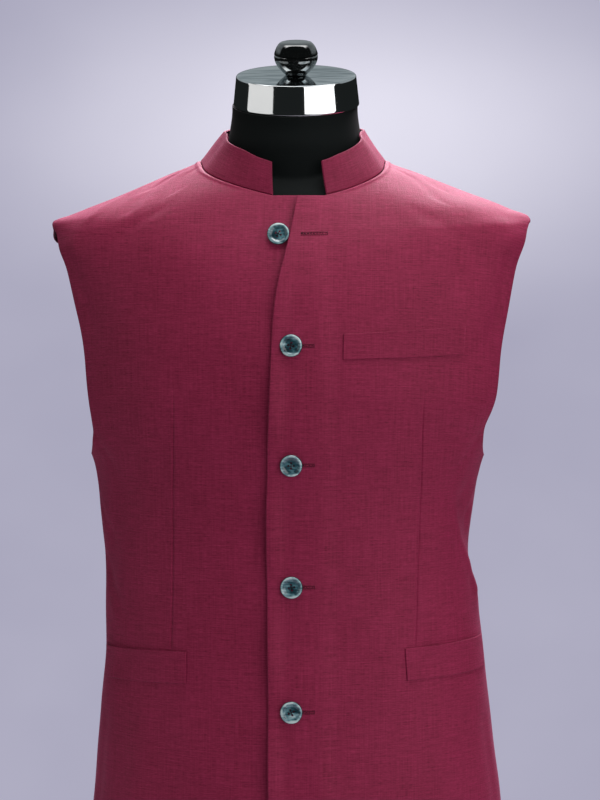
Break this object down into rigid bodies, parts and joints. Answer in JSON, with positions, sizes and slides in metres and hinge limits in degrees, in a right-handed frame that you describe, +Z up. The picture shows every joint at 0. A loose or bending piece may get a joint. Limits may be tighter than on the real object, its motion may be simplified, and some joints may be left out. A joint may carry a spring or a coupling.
{
  "type": "nehru jacket on a dress form",
  "caption": "Sleeveless buttoned jacket with a stand collar and welt pockets, worn by a limbless dress form on a short pole and round foot.",
  "frame": {"origin": "centre of the underside of the stand's round foot, on the floor", "axes": "+Z up, -Y out of the jacket's front, +X to the wearer's left"},
  "size_m": [0.435, 0.3, 1.1092],
  "materials": {
    "burgundy_cloth": "burgundy slub cloth, plain weave",
    "shell_button": "polished, grey-green shell look",
    "black_jersey": "black jersey drawn tight over a hard torso",
    "chrome": "polished chrome plate",
    "black_lacquer": "turned wood, gloss black lacquer",
    "black_metal": "satin black enamel"
  },
  "bodies": {
    "root": {"left_front": "burgundy_cloth", "right_front": "burgundy_cloth", "back_left": "burgundy_cloth", "back_right": "burgundy_cloth", "collar": "burgundy_cloth", "breast_welt": "burgundy_cloth", "hip_welt_right": "burgundy_cloth", "hip_welt_left": "burgundy_cloth", "button_1": "shell_button", "button_2": "shell_button", "button_3": "shell_button", "button_4": "shell_button", "button_5": "shell_button", "dress_form": "black_jersey", "neck_cap": "chrome", "cap_knob": "black_lacquer", "stand_pole": "black_metal", "stand_base": "black_metal"}
  },
  "joints": []
}
